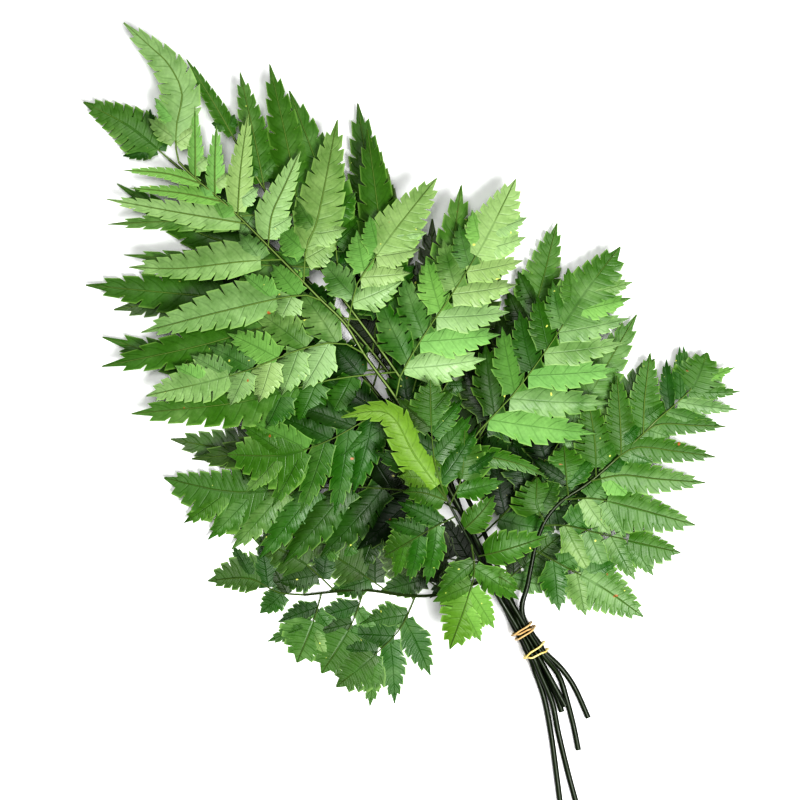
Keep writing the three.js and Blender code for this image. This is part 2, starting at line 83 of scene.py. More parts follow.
def smoothstep(x, low, high):
    t = min(1, max(0, (x - low) / (high - low)))
    return t * t * (3 - 2 * t)


print("the tie is at", [round(x, 4) for x in plan((525.5, 634.5))])

# %% [markdown]
# ## The pile
# The fronds lie over each other in levels. In the middle of the pile, where the ribs are thick, the
# levels are further apart than at the rim. A blade may rise and fall within its own level only, so
# that no leaf cuts through the frond above or below. A soft stop, tanh, keeps it in without a kink.

# %% Heights in the pile
LOWEST = 1.55 * MM
MIDDLE_GAP = 9.4 * MM
EDGE_GAP = 3.6 * MM
PILE_CENTRE = plan((388, 385))
PILE_HALF = (150 * MM, 215 * MM)
PILE_TURN = 0.55
KEPT_FREE = 0.5 * MM


def gap_at(point):
    """The height between two neighbouring levels."""
    away = Matrix.Rotation(-PILE_TURN, 3, "Z") @ (point - PILE_CENTRE)
    share = math.hypot(away.x / PILE_HALF[0], away.y / PILE_HALF[1])
    return lerp(MIDDLE_GAP, EDGE_GAP, smoothstep(share, 0.2, 1.05))


def level_height(level, point):
    return LOWEST + level * gap_at(point)


print("gap in the middle", gap_at(PILE_CENTRE), "and at the rim", gap_at(plan((700, 520))))

# %% [markdown]
# ## The fronds' ribs
# A pinna is one side branch of a frond. Its record has the rib from foot to tip, how far its leaflets
# reach to the left and the right of the rib, in pixels, and the number of leaflet pairs. `peak` is
# where along the rib the reach is greatest, `young` how yellow it is, and `finer` multiplies the pairs
# of the ribs that lie under others. A frond's `tone` tells how pale it is: partly its own colour, and
# partly painted shade, set lower for the fronds that lie under the top frond. `wider` tells how much
# further its leaflets reach than the record says. Written this way a frond is a page of places, and one
# set of rules grows them all.

# %% A pinna's record


def pinna(rib, reach, pairs, peak=0.15, first=0.06, young=0, finer=1):
    return {"rib": rib, "reach": reach, "pairs": pairs, "peak": peak, "first": first, "young": young,
            "finer": finer}


# %% The top frond, with the fan
TOP_FROND = {
    "name": "frond_top",
    "level": 4,
    "place": "highRight",
    "tone": 0.82,
    "wider": 1,
    "cut_end": [(582, 757, 1.8), (577, 732, 1.8), (570, 705, 2.1), (561.5, 680, 4.8)],
    "rachis": [(509, 599), (490, 566), (466, 520), (436, 465), (408, 418), (392, 392), (366, 357),
               (346, 325), (318, 297), (278, 256), (232, 210), (192, 175), (177, 160)],
    "branches": [],
    "pinnae": [
        pinna([(364, 354), (340, 343), (300, 350), (240, 373), (144, 396)], (36, 46), 8),
        pinna([(396, 398), (400, 377), (423, 337), (451, 296), (480, 249), (517, 177)], (46, 58), 9),
        pinna([(322, 301), (298, 296), (220, 312), (139, 332)], (21, 29), 8),
        pinna([(348, 328), (357, 286), (371, 265), (389, 238), (437, 177)], (33, 37), 7),
        pinna([(282, 260), (240, 262), (180, 268), (126, 266)], (16, 24), 7),
        pinna([(304, 283), (307, 247), (318, 218), (337, 118)], (27, 26), 7),
        pinna([(246, 223), (180, 212), (103, 197)], (15, 17), 6),
        pinna([(268, 247), (272, 215), (285, 185), (300, 150)], (20, 18), 5),
        pinna([(222, 201), (180, 192), (127, 186)], (9, 11), 5),
        pinna([(238, 215), (240, 170), (247, 112)], (17, 16), 6),
        pinna([(201, 183), (165, 172), (120, 168)], (8, 9), 4),
        pinna([(214, 195), (214, 165), (215, 123)], (12, 12), 5),
        pinna([(194, 177), (194, 150), (193, 103)], (10, 10), 5),
        pinna([(177, 160), (174, 145), (175, 120), (180, 90), (167, 62), (150, 45),
               (121, 19)], (24, 20), 10),
    ],
}

# %% The frond under it
SECOND_FROND = {
    "name": "frond_second",
    "level": 3,
    "place": "middle",
    "tone": 0.58,
    "wider": 1.05,
    "cut_end": [(568, 711, 6.9), (554, 685, 7.8)],
    "rachis": [(511, 598), (498, 567), (483, 530), (462, 487), (440, 440), (410, 392), (375, 342),
               (338, 292), (300, 240), (262, 186), (232, 135)],
    "branches": [],
    "pinnae": [
        pinna([(453, 468), (480, 430), (514, 394), (550, 346), (589, 288),
               (623, 245)], (50, 74), 9, first=0.16),
        pinna([(456, 475), (480, 458), (515, 463), (547, 477)], (14, 13), 4),
        pinna([(434, 430), (400, 412), (375, 415), (332, 439), (285, 455),
               (226, 455)], (54, 52), 8, peak=0.4),
        pinna([(412, 395), (430, 330), (450, 260), (462, 183)], (30, 30), 5, finer=1.5),
        pinna([(396, 372), (330, 380), (240, 402), (128, 414)], (32, 32), 5, finer=1.5),
        pinna([(377, 345), (384, 270), (367, 126)], (26, 26), 5, finer=1.5),
        pinna([(358, 320), (300, 318), (200, 345), (98, 366)], (28, 28), 6, finer=1.5),
        pinna([(340, 295), (328, 200), (288, 87)], (27, 27), 6, finer=1.5),
        pinna([(320, 268), (220, 262), (120, 253)], (18, 18), 5, finer=1.5),
        pinna([(302, 243), (290, 160), (268, 60)], (23, 23), 6, finer=1.5),
        pinna([(280, 212), (200, 218), (104, 222)], (16, 16), 5, finer=1.5),
        pinna([(264, 189), (252, 130), (238, 68)], (19, 19), 5, finer=1.5),
        pinna([(232, 135), (212, 100), (184, 55)], (10, 10), 5, finer=1.5),
    ],
}

# %% The frond on the right
RIGHT_FROND = {
    "name": "frond_right",
    "level": 2,
    "place": "lowRight",
    "tone": 0.46,
    "wider": 1.14,
    "cut_end": [(592, 724, 1.8), (578, 693, 2.4), (564, 673, 3.8)],
    "rachis": [(524, 608), (529, 590), (533, 569), (538, 545), (548, 520), (565, 501), (592, 483),
               (630, 450), (661, 420)],
    "branches": [],
    "pinnae": [
        pinna([(537, 552), (560, 565), (605, 590), (647, 620)], (28, 31), 5),
        pinna([(545, 527), (568, 527), (605, 536), (685, 555)], (21, 40), 6),
        pinna([(546, 524), (538, 505), (539, 478)], (26, 26), 2),
        pinna([(566, 501), (598, 500), (640, 510), (700, 527)], (19, 28), 6),
        pinna([(570, 497), (568, 478), (566, 446)], (28, 28), 3),
        pinna([(593, 482), (625, 476), (660, 480), (710, 484)], (17, 19), 6),
        pinna([(598, 477), (597, 440), (590, 395)], (20, 19), 4),
        pinna([(617, 461), (640, 448), (680, 452), (721, 458)], (15, 17), 6),
        pinna([(624, 455), (623, 420), (620, 375)], (17, 17), 4),
        pinna([(640, 441), (662, 425), (700, 426), (731, 427)], (14, 14), 5),
        pinna([(647, 434), (648, 400), (654, 352)], (17, 18), 4),
        pinna([(661, 420), (682, 402), (698, 385), (712, 352)], (32, 36), 6, peak=0.3),
    ],
}

# %% The third frond from the top
THIRD_FROND = {
    "name": "frond_third",
    "level": 1,
    "place": "lowLeft",
    "tone": 0.5,
    "wider": 1.1,
    "cut_end": [(567, 838, 1.8), (560, 784, 1.8), (554, 740, 1.8), (547, 704, 2.2), (537, 675, 4.2)],
    "rachis": [(501, 598), (483, 565), (468, 530), (450, 480), (418, 415), (375, 355), (325, 298),
               (270, 245), (215, 197), (165, 155)],
    "branches": [],
    "pinnae": [
        pinna([(462, 513), (430, 497), (409, 492), (350, 488), (290, 491), (225, 493),
               (160, 479)], (60, 34), 9, peak=0.38),
        pinna([(474, 545), (520, 500), (570, 430), (641, 313)], (36, 36), 6, finer=1.5),
        pinna([(452, 485), (490, 420), (530, 330), (560, 220)], (44, 34), 6, finer=1.5),
        pinna([(430, 440), (360, 435), (280, 450), (188, 460)], (30, 30), 6, finer=1.5),
        pinna([(424, 424), (468, 345), (500, 255)], (28, 28), 6, finer=1.5),
        pinna([(385, 368), (300, 375), (200, 365), (97, 336)], (28, 28), 6, finer=1.5),
        pinna([(372, 352), (378, 260), (357, 98)], (30, 30), 6, finer=1.5),
        pinna([(330, 303), (240, 298), (80, 283)], (28, 28), 6, finer=1.5),
        pinna([(275, 250), (200, 232), (112, 180)], (20, 20), 5, finer=1.5),
        pinna([(165, 155), (125, 122), (78, 97)], (22, 22), 5, finer=1.5),
    ],
}

# %% The frond that lies on the table
LOWEST_FROND = {
    "name": "frond_lowest",
    "level": 0,
    "place": "low",
    "tone": 0.36,
    "wider": 1.34,
    "cut_end": [(565, 718, 1.8), (560, 703, 2), (551, 684, 2.7)],
    "rachis": [(506, 600), (494, 578), (478, 545), (450, 495), (412, 440), (370, 385), (325, 330),
               (280, 275), (240, 225)],
    "branches": [[(495, 580), (450, 596), (412, 600), (361, 594), (302, 599)]],
    "pinnae": [
        pinna([(302, 599), (275, 596), (245, 582), (204, 585)], (16, 28), 5),
        pinna([(320, 598), (312, 625), (295, 668)], (26, 24), 4, peak=0.4),
        pinna([(363, 594), (350, 630), (320, 679)], (28, 28), 5, peak=0.4),
        pinna([(416, 600), (395, 640), (335, 693)], (33, 28), 5, peak=0.35),
        pinna([(335, 597), (300, 565), (249, 540)], (24, 26), 4),
        pinna([(390, 597), (362, 578), (322, 552)], (24, 26), 3),
        pinna([(446, 597), (420, 578), (380, 550)], (26, 26), 3),
        pinna([(488, 566), (450, 562), (405, 548)], (28, 28), 3, finer=1.5),
        pinna([(502, 590), (530, 566), (562, 540)], (26, 26), 3, finer=1.5),
        pinna([(436, 474), (400, 476), (345, 492)], (28, 28), 4, finer=1.5),
        pinna([(447, 491), (400, 520), (330, 545), (268, 552)], (32, 30), 5, finer=1.5),
        pinna([(482, 552), (540, 505), (600, 440), (660, 358)], (34, 34), 5, finer=1.5),
        pinna([(454, 502), (500, 420), (534, 277)], (30, 30), 5, finer=1.5),
        pinna([(400, 424), (330, 440), (240, 450), (166, 440)], (28, 28), 5, finer=1.5),
        pinna([(414, 443), (430, 350), (433, 215)], (26, 26), 5, finer=1.5),
        pinna([(345, 354), (260, 360), (160, 352)], (26, 26), 5, finer=1.5),
        pinna([(372, 388), (390, 300), (372, 142)], (27, 27), 5, finer=1.5),
        pinna([(295, 293), (220, 290), (108, 308)], (22, 22), 5, finer=1.5),
        pinna([(240, 225), (212, 190), (180, 160)], (22, 22), 4, finer=1.5),
    ],
}

# %% The small frond in the middle, on top of all
SMALL_FROND = {
    "name": "frond_small",
    "level": 5,
    "place": "highLeft",
    "tone": 0.36,
    "wider": 1.3,
    "cut_end": [(587, 836, 1.8), (573, 786, 1.8), (562, 741, 2.1), (555, 708, 4.6), (542.5, 678, 8.9)],
    "rachis": [(499, 597), (485, 570), (472, 545), (458, 520), (447, 500)],
    "branches": [],
    "pinnae": [
        pinna([(447, 500), (436, 470), (431, 430), (430, 380)], (36, 34), 5),
        pinna([(449, 504), (461, 475), (464, 430)], (10, 26), 4),
        pinna([(446, 498), (425, 492), (403, 491)], (15, 15), 3),
        pinna([(455, 515), (430, 528), (384, 556)], (34, 26), 4),
        pinna([(471, 543), (474, 572), (465, 605), (450, 650)], (30, 26), 5, young=0.2),
        pinna([(463, 529), (480, 512), (494, 494)], (12, 14), 3),
        pinna([(478, 556), (505, 549), (547, 536)], (17, 13), 4),
        pinna([(487, 572), (502, 578), (519, 590)], (9, 9), 2),
        pinna([(446, 498), (415, 455), (388, 413), (342, 417)], (18, 18), 6, peak=0.6, young=0.42),
    ],
}

# %% All six, from the table up
FRONDS = [LOWEST_FROND, THIRD_FROND, RIGHT_FROND, SECOND_FROND, TOP_FROND, SMALL_FROND]
print(sum(len(frond["pinnae"]) for frond in FRONDS), "pinnae")

# %% [markdown]
# ## Curves
# A rib is a smooth curve through its places. A Catmull-Rom curve goes through every one of them, so the
# places can be read straight from the picture. It is walked by its length, not by its own step, so that
# the leaflets stand evenly.

# %% A smooth way through places
STEPS = 200


def catmull(a, b, c, d, t):
    """A point between b and c, with a before them and d after them."""
    v, w = (c - a) / 2, (d - b) / 2
    return (2 * b - 2 * c + v + w) * t ** 3 + (3 * c - 3 * b - 2 * v - w) * t ** 2 + v * t + b


class Way:
    """A smooth way through places, walked by its length."""

    def __init__(self, places):
        last = len(places) - 1
        self.points = []
        for i in range(STEPS + 1):
            whole, part = divmod(last * i / STEPS, 1)
            k = min(int(whole), last - 1)
            part += whole - k
            near = [places[min(last, max(0, k + m))] for m in (-1, 0, 1, 2)]
            self.points.append(catmull(*near, part))
        self.lengths = [0]
        for a, b in zip(self.points, self.points[1:]):
            self.lengths.append(self.lengths[-1] + (b - a).length)
        self.length = self.lengths[-1]

    def at(self, share):
        """The point at a share of the length."""
        goal = min(1, max(0, share)) * self.length
        k = min(STEPS, max(1, bisect.bisect_left(self.lengths, goal)))
        part = (goal - self.lengths[k - 1]) / max(1e-9, self.lengths[k] - self.lengths[k - 1])
        return self.points[k - 1].lerp(self.points[k], part)

    def heading(self, share):
        """The direction of the way at a share of its length."""
        low, high = max(0, share - 0.01), min(1, share + 0.01)
        return (self.at(high) - self.at(low)).normalized()


# %% The nearest point on a chain of points


def nearest_on(chains, point):
    """The point of some chains that is nearest in plan, as (point, share, distance to its left)."""
    best = None
    for chain in chains:
        for i, (a, b) in enumerate(zip(chain, chain[1:])):
            leg = (b - a).xy
            away = (point - a).xy
            share = min(1, max(0, away.dot(leg) / max(1e-12, leg.length_squared)))
            distance = (away - leg * share).length
            if best is None or distance < best[0]:
                side = math.copysign(1, leg.x * away.y - leg.y * away.x)
                best = (distance, a.lerp(b, share), (i + share) / (len(chain) - 1), side * distance)
    return best[1:]


# %% [markdown]
# ## Stems
# A stem is a green stalk about 3.5 mm thick. It lies on the table at its cut end, climbs into the tie,
# where six of them lie one round five, and goes on as the frond's main rib up to its own level. The
# tube is grown ring by ring: a circle is extruded and each new ring is moved to the next place. The
# circle and the extrusion are bmesh operators, so the walls need no lists of faces.

# %% Where the stems lie in the tie
TIE = plan((525.5, 634.5))
AHEAD = Vector((-0.5, 0.87, 0)).normalized()
ACROSS = Vector((AHEAD.y, -AHEAD.x, 0))
STEM_PITCH = 3.9 * MM
STEM_RADIUS = 1.75 * MM
RACHIS_END_RADIUS = 0.8 * MM
BUNDLE_HEIGHT = 8.75 * MM
NECK_HALF = 6 * MM
NECK_END = 80 * MM
LOOSE_BACK = 14.5 * MM
LOOSE_SPREAD = 1.22
PLACES = {
    "middle": (0, 0),
    "low": (0, -1),
    "lowLeft": (-0.951, -0.309),
    "lowRight": (0.951, -0.309),
    "highLeft": (-0.588, 0.809),
    "highRight": (0.588, 0.809),
}


def at_tie(place, ahead, spread=1):
    right, up = PLACES[place]
    point = TIE + AHEAD * ahead + ACROSS * (right * STEM_PITCH * spread)
    point.z = BUNDLE_HEIGHT + up * STEM_PITCH
    return point


# %% A stem's places from its cut end to its last pinna


def stem_places(frond):
    places = []
    for x, y, height in frond["cut_end"]:
        places.append(plan((x, y)) + Vector((0, 0, height * MM)))
    for ahead, spread in ((-LOOSE_BACK - 3 * MM, LOOSE_SPREAD), (-LOOSE_BACK + 3 * MM, LOOSE_SPREAD),
                          (-NECK_HALF, 1), (NECK_HALF, 1)):
        places.append(at_tie(frond["place"], ahead, spread))
    tied = at_tie(frond["place"], 0).z
    for pixel in frond["rachis"]:
        point = plan(pixel)
        share = smoothstep((point - TIE).xy.length, NECK_HALF, NECK_END)
        point.z = lerp(tied, level_height(frond["level"], point), share)
        places.append(point)
    return places


def branch_places(branch, frond, stem):
    places = [plan(pixel) for pixel in branch]
    for point in places:
        point.z = level_height(frond["level"], point)
    places[0].z = nearest_on([stem], places[0])[0].z
    return places


print("a stem has", len(stem_places(FRONDS[0])), "places")

# %% A tube grown ring by ring
STEM_SIDES = 10


def ring_frame(points, i):
    """A turned frame at a point of a way, with its z along the way."""
    ahead = (points[min(i + 1, len(points) - 1)] - points[max(i - 1, 0)]).normalized()
    across = Vector((0, 0, 1)).cross(ahead).normalized()
    over = ahead.cross(across)
    turned = Matrix((across, over, ahead)).transposed().to_4x4()
    return Matrix.Translation(points[i]) @ turned


def grow_tube(bm, points, radii, sides, material, youth):
    """Adds a tube along points. The y of its leaf_place goes from -1 below to 1 on top."""
    place, tones = bm.verts.layers.float_vector["leaf_place"], bm.verts.layers.float_color["leaf_tone"]
    frames = [ring_frame(points, i) @ Matrix.Scale(radius, 4) for i, radius in enumerate(radii)]
    ring = bmesh.ops.create_circle(bm, segments=sides, radius=1, cap_ends=True)["verts"]
    bmesh.ops.transform(bm, matrix=frames[0], verts=ring)
    faces = set(ring[0].link_faces)
    everything = list(ring)
    edges = list(ring[0].link_faces[0].edges)
    for i in range(1, len(points)):
        made = bmesh.ops.extrude_edge_only(bm, edges=edges)["geom"]
        ring = [g for g in made if isinstance(g, bmesh.types.BMVert)]
        faces.update(g for g in made if isinstance(g, bmesh.types.BMFace))
        edges = [g for g in made if isinstance(g, bmesh.types.BMEdge) and all(v in ring for v in g.verts)]
        bmesh.ops.transform(bm, matrix=frames[i] @ frames[i - 1].inverted(), verts=ring)
        everything += ring
    faces.update(bmesh.ops.contextual_create(bm, geom=edges)["faces"])
    for i in range(len(points)):
        for v in everything[i * sides:(i + 1) * sides]:
            local = frames[i].inverted() @ v.co
            v[place] = (0, local.y, 0)
            v[tones] = (0, youth, 0, 1)
    bmesh.ops.recalc_face_normals(bm, faces=list(faces))
    for face in faces:
        face.material_index = material
        face.smooth = len(face.verts) == 4
    return faces


# %% [markdown]
# ## Leaflets
# A leaflet is a leathery blade with forward teeth, a pointed tip and side veins that run to the teeth.
# It starts as a grid of a few dozen faces. Its columns are set at the foot, at each tooth's point and in
# each notch behind it, so the saw edge costs no extra faces. The same grid gives the veins their
# coordinates: x counts the teeth from the foot, y goes from -1 on one edge to 1 on the other. Its tone
# holds four numbers for the finish: how pale, how young, how far it faces the light, and one by chance.
# The third number is painted light and shade: a leaflet that faces the light is painted paler.

# %% A leaflet's outline
ROWS = 4
FIRST_TOOTH = 0.22
TOOTHED = 0.74
NOTCH = 0.15
SHOULDER = 0.42
WIDEST = 0.38


def blade_share(u, joined):
    """Half the width at u along the leaflet, as a share of its greatest."""
    foot = 0.14 + 0.4 * smoothstep(joined, -0.25, 0.2)
    if u < WIDEST:
        free = lerp(foot, 1, smoothstep(u, -0.1, WIDEST))
    else:
        free = ((1 - u) / (1 - WIDEST)) ** 0.8
    return max(free, 0.8 * (1 - smoothstep(u, joined, joined + 0.35)))


def columns(teeth):
    """The places of a blade's columns, each with the kind 0 plain, 1 tooth or -1 notch. A shoulder after
    each notch makes the next lobe round behind its point."""
    found = [(0, 0), (0.12, 0)]
    for i in range(teeth):
        u = FIRST_TOOTH + TOOTHED * i / teeth
        found += [(u, 1), (u + NOTCH / teeth, -1), (u + SHOULDER / teeth, 0)]
    return found[:-1] + [(1, 0)]


print("a leaflet with five teeth has", (len(columns(5)) - 1) * ROWS, "faces")

# %% A blade on a surface


def add_blade(bm, where, share, half, teeth, cut, lift, height_at, tone):
    """Adds one blade. where(u, across) is its plan, share(u) its outline as a share of half its width,
    cut how deep the notches are, lift(u, w) its own form and height_at its bed."""
    place, tones = bm.verts.layers.float_vector["leaf_place"], bm.verts.layers.float_color["leaf_tone"]
    slots = columns(teeth)
    made = bmesh.ops.create_grid(bm, x_segments=len(slots) - 1, y_segments=ROWS, size=1)["verts"]
    for v in made:
        u, kind = slots[round((v.co.x + 1) / 2 * (len(slots) - 1))]
        w = v.co.y
        rim = abs(w) > 0.9
        breadth = half * max(0.02, share(u)) * (1 + (0.06 * (kind > 0) - cut * (kind < 0)) * rim)
        point = where(u + ((0.12 + 0.5 * cut) / teeth if kind > 0 and rim else 0), breadth * w)
        v.co = (point.x, point.y, height_at(point, lift(u, w)) + tone[3] * LOOSE)
        v[place] = ((u - FIRST_TOOTH) * teeth / TOOTHED + 0.5, w, 0)
        v[tones] = tone


# %% [markdown]
# ## Pinnae
# On the real frond the leaflets stand in two rows beside the rib. They lean forward, more so towards
# the tip, where they grow together into one toothed blade. So a pinna is made of two rows and a tip,
# and on a small pinna the tip begins early. The rows hang a little on both sides of the rib, as a roof
# does. Each leaflet arches between its edges and is turned a little on its own, and this is what makes
# the gloss break up from leaflet to leaflet.

# %% A stream of random numbers that gives each pinna its bend
REACH = 1.25 * PIXEL
CROWDING = 1.3
FILL = 1.5
PRESSED = 0.7
BLADE = 0.3 * MM
LOOSE = 0.35 * MM
CREASE = 0.2 * MM


def stream(seed):
    state = seed
    while True:
        state = (state * 48271) % 2147483647
        yield state / 2147483647


def bed(frond, marks, width, step, arch, tilt):
    """Returns the height over the table of any point of a pinna, with `lift` metres of its own."""

    def height_at(point, lift=0):
        _, s, b = nearest_on([marks], point)
        share = b / width
        room = gap_at(point) / 2 - KEPT_FREE
        rise = arch * math.sin(math.pi * s) - 0.9 * share ** 2 + tilt * share - 0.4 * s ** 3
        rise += lift / room - (PRESSED if frond["level"] == 0 else 0)
        height = level_height(frond["level"], point) + room * math.tanh(rise) + step * (1 - s) ** 4
        return max(height, BLADE + 0.05 * MM)

    return height_at


# %% One row of leaflets
# The side from which light is painted into the leaflets' colour: leaflets that point to it are painted paler
PAINTED_LIGHT_SIDE = Vector((0.75, -0.66, 0))
LEAN_AT_FOOT, LEAN_AT_TIP = 1.05, 0.7
ROW_OVERLAP = 0.03
# How much painted shade darkens the lower fronds in the middle of the pile
PAINTED_PILE_SHADE = 0.42


def reach_share(s, peak):
    return lerp(0.8, 1, s / peak) if s < peak else ((1 - s) / (1 - peak)) ** 0.72


def grown_together(reach):
    """Where along a rib its leaflets have grown into one toothed blade: early on a small pinna."""
    return lerp(0.14, 0.76, smoothstep(reach, 11 * MM, 38 * MM))


def tone_at(frond, point, draw):
    """A frond's tone, with painted shade deep in the middle of the pile, where the fronds above cover the
    lower ones.
    """
    # Painted shade: the lower a frond lies, the darker it is painted where the pile is thick
    deep = PAINTED_PILE_SHADE * (1 - frond["level"] / 5) * smoothstep(gap_at(point), 5 * MM, 9 * MM)
    return min(1, max(0, frond["tone"] - deep + draw.uniform(-0.09, 0.09)))


def grow_row(bm, rib, record, side, height_at, frond, draw):
    pairs, first = round(record["pairs"] * record["finer"]), record["first"]
    reach = record["reach"][0 if side > 0 else 1] * REACH * frond["wider"]
    lobed = lerp(0.2, -0.3, smoothstep(reach, 14 * MM, 26 * MM))
    free = grown_together(reach)

    def station(j):
        share = (j + (0.25 if side > 0 else 0)) / (pairs + 0.25)
        return lerp(first, 0.95, 1 - (1 - share) ** CROWDING)

    for j in range(pairs):
        start, end = station(j), station(j + 1)
        s = (start + end) / 2
        if s > free + ROW_OVERLAP:
            break
        lean = lerp(LEAN_AT_FOOT, LEAN_AT_TIP, s)
        ahead = rib.heading(s)
        out = Vector((-ahead.y, ahead.x, 0)) * side
        axis = ahead * math.cos(lean) + out * math.sin(lean)
        forward = Vector((axis.y, -axis.x, 0)) * side
        long = reach * reach_share(s, record["peak"]) / math.sin(lean)
        half = (end - start) / 2 * rib.length * math.sin(lean) * FILL
        teeth = 5 if long > 22 * MM else 4 if long > 12 * MM else 3
        roll = draw.uniform(-0.08, 0.3) * half
        camber = draw.uniform(0.22, 0.42) * half
        droop = draw.uniform(0.0, 0.12) * long

        def lift(u, w):
            settled = min(1, u / 0.2)
            return settled * (camber * (0.4 - w * w) - roll * w - droop * u * u) - CREASE * (w == 0)

        # Painted light: a leaflet that points towards the light side gets a paler tone
        painted_light = 0.5 + 0.5 * axis.dot(PAINTED_LIGHT_SIDE)
        youth = record["young"] * (0.3 + s) + 0.25 * s ** 4 + draw.uniform(0, 0.06)
        foot = rib.at(s)
        tones = (tone_at(frond, foot + axis * long * 0.5, draw), min(1, youth), painted_light, draw.random())
        joined = lerp(lobed, 0.5, s)
        cut = lerp(0.08, 0.36, min(1, long / (34 * MM)))

        def where(u, across):
            return foot + axis * (long * u) + forward * (across + 0.05 * long * u * u)

        def share(u):
            return blade_share(u, joined)

        add_blade(bm, where, share, half, teeth, cut, lift, height_at, tones)


# %% The end of a pinna, one toothed blade round the rib
TIP_OVERLAP = 0.11
TIP_CUT = 0.42


def grow_tip(bm, rib, record, frond, height_at, draw):
    reaches = [reach * REACH * frond["wider"] for reach in record["reach"]]
    start = grown_together(max(reaches)) - TIP_OVERLAP
    half = reach_share(start, record["peak"])
    camber = draw.uniform(0.12, 0.3)

    def where(u, across):
        s = lerp(start, 1, u)
        ahead = rib.heading(s)
        side = Vector((ahead.y, -ahead.x, 0))
        return rib.at(s) + side * across * (reaches[0] if across < 0 else reaches[1])

    def lift(u, w):
        return camber * max(reaches) * half * (0.3 - w * w) * (1 - u) - CREASE * (w == 0)

    # Painted light on the tip blade, by the way its rib points
    painted_light = 0.55 + 0.25 * rib.heading(start).dot(PAINTED_LIGHT_SIDE)
    tone = tone_at(frond, rib.at(lerp(start, 1, 0.4)), draw)
    tones = (tone, min(1, record["young"] + 0.1), painted_light, draw.random())
    teeth = 7 if rib.length * (1 - start) > 44 * MM else 5

    def share(u):
        return min(1, 0.42 + 2.4 * u) * (1 - u) ** 0.72

    add_blade(bm, where, share, half, teeth, TIP_CUT, lift, height_at, tones)


# %% A whole pinna
RIB_MARKS = 24
RIB_RINGS = 12
RIB_ABOVE = 0.3 * MM


def grow_pinna(bm, record, frond, chains, numbers, draw):
    """Adds a pinna's blades. Returns its rib's points and radii, for the stalks."""
    foot = nearest_on(chains, plan(record["rib"][0]))[0]
    flat = [Vector((foot.x, foot.y, 0))] + [plan(pixel) for pixel in record["rib"][1:]]
    rib = Way(flat)
    marks = [rib.at(i / RIB_MARKS) for i in range(RIB_MARKS + 1)]
    arch, tilt = lerp(0.3, 0.9, next(numbers)), lerp(-0.5, 0.5, next(numbers))
    next(numbers)  # the plain leaflets' twist, which the finer ones don't need
    step = foot.z - level_height(frond["level"], marks[0])
    width = max(record["reach"]) * REACH
    height_at = bed(frond, marks, width, step, arch, tilt)
    for side in (1, -1):
        grow_row(bm, rib, record, side, height_at, frond, draw)
    grow_tip(bm, rib, record, frond, height_at, draw)
    shares = [i / RIB_RINGS for i in range(RIB_RINGS + 1)]
    points = [rib.at(s) for s in shares]
    for point in points:
        point.z = height_at(point, LOOSE) + RIB_ABOVE
    thick = lerp(0.45, 0.62, min(1, rib.length / (120 * MM))) * MM
    return points, [lerp(thick, 0.16 * MM, s) for s in shares]


# %% [markdown]
# ## Whole fronds
# A frond is one piece: the blades first, given their thickness all at once, then the stalks. The faces
# that look down get the paler finish of a leaf's back.

# %% A frond as one mesh
FINE_SIDES = 6
STEM_RINGS = 90
BRANCH_RINGS = 30
STEM_YOUTH, BRANCH_YOUTH, RIB_YOUTH = 0, 0.1, 0.3
TOP, BACK, STALK, CUT = range(4)


def thicken(bm):
    """Gives all blades their thickness and their two finishes."""
    bmesh.ops.reverse_faces(bm, faces=[face for face in bm.faces if face.normal.z < 0])
    bmesh.ops.solidify(bm, geom=bm.faces[:], thickness=BLADE)
    bmesh.ops.recalc_face_normals(bm, faces=bm.faces[:])
    for face in bm.faces:
        face.smooth = True
        face.material_index = BACK if face.normal.z < -0.2 else TOP


def grow_stem(bm, frond, stem):
    """Adds the stem, smoothed through its places, with its cut face."""
    way = Way(stem)
    points = [way.at(i / STEM_RINGS) for i in range(STEM_RINGS + 1)]
    neck = sum((b - a).length for a, b in zip(stem, stem[1:len(stem) - len(frond["rachis"]) + 1]))
    leafy = neck / way.length
    radii = []
    for i in range(STEM_RINGS + 1):
        share = max(0, (i / STEM_RINGS - leafy) / (1 - leafy))
        radii.append(lerp(STEM_RADIUS, RACHIS_END_RADIUS, share ** 0.6))
    faces = grow_tube(bm, points, radii, STEM_SIDES, STALK, STEM_YOUTH)
    ends = [face for face in faces if len(face.verts) > 4]
    cut = min(ends, key=lambda face: (face.calc_center_median() - points[0]).length)
    bmesh.ops.inset_individual(bm, faces=[cut], thickness=0.25 * MM, depth=-0.1 * MM)
    cut.material_index = CUT


def sharpen(bm, angle=0.9):
    for edge in bm.edges:
        if len(edge.link_faces) == 2 and edge.calc_face_angle(0) > angle:
            edge.smooth = False


# %% Build one frond


def new_mesh():
    bm = bmesh.new()
    bm.verts.layers.float_vector.new("leaf_place")
    bm.verts.layers.float_color.new("leaf_tone")
    return bm


def finish_piece(bm, name, node, materials):
    """Turns a bmesh into a piece that rides on the frame and stands for its node."""
    mesh = bpy.data.meshes.new(name)
    bm.to_mesh(mesh)
    bm.free()
    for material in materials:
        mesh.materials.append(material)
    piece = bpy.data.objects.new(name, mesh)
    bpy.context.scene.collection.objects.link(piece)
    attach(piece, "root")
    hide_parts(node)
    print(name, len(mesh.polygons), "faces")
    return piece


